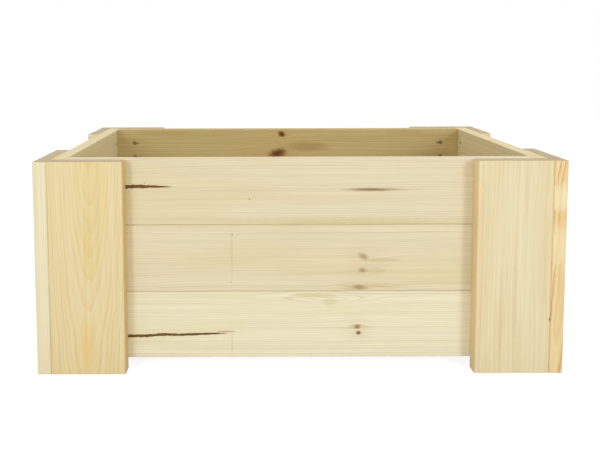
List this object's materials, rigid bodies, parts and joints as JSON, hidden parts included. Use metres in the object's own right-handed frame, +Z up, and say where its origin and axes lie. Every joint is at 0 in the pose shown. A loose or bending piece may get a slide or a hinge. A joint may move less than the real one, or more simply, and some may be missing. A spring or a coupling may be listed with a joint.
{
  "type": "raised planter",
  "caption": "Rectangular timber planter box of tongue-and-groove boards on corner legs made of flat boards, with a slatted drainage floor.",
  "frame": {"origin": "bottom centre of the planter, on the ground between its legs", "axes": "+X along the width, to the right seen from the front; -Y out of the front wall; +Z up"},
  "size_m": [0.8, 0.415, 0.327],
  "materials": {
    "wall_board": "planed, untreated",
    "leg_board": "planed, untreated",
    "floor_board": "sawn, untreated",
    "fastener": "zinc plated"
  },
  "bodies": {
    "root": {"back_board_bottom": "wall_board", "back_board_middle": "wall_board", "back_board_top": "wall_board", "back_cleat_screws": "fastener", "back_floor_cleat": "floor_board", "back_left_corner_screws": "fastener", "back_left_leg_face_board": "leg_board", "back_left_leg_screws": "fastener", "back_left_leg_side_board": "leg_board", "back_right_corner_screws": "fastener", "back_right_leg_face_board": "leg_board", "back_right_leg_screws": "fastener", "back_right_leg_side_board": "leg_board", "back_slat_nails": "fastener", "floor_slat_1": "floor_board", "floor_slat_2": "floor_board", "floor_slat_3": "floor_board", "floor_slat_4": "floor_board", "floor_slat_5": "floor_board", "floor_slat_6": "floor_board", "floor_slat_7": "floor_board", "front_board_bottom": "wall_board", "front_board_middle": "wall_board", "front_board_top": "wall_board", "front_cleat_screws": "fastener", "front_floor_cleat": "floor_board", "front_left_corner_screws": "fastener", "front_left_leg_face_board": "leg_board", "front_left_leg_screws": "fastener", "front_left_leg_side_board": "leg_board", "front_right_corner_screws": "fastener", "front_right_leg_face_board": "leg_board", "front_right_leg_screws": "fastener", "front_right_leg_side_board": "leg_board", "front_slat_nails": "fastener", "left_board_bottom": "wall_board", "left_board_middle": "wall_board", "left_board_top": "wall_board", "right_board_bottom": "wall_board", "right_board_middle": "wall_board", "right_board_top": "wall_board"}
  },
  "joints": []
}
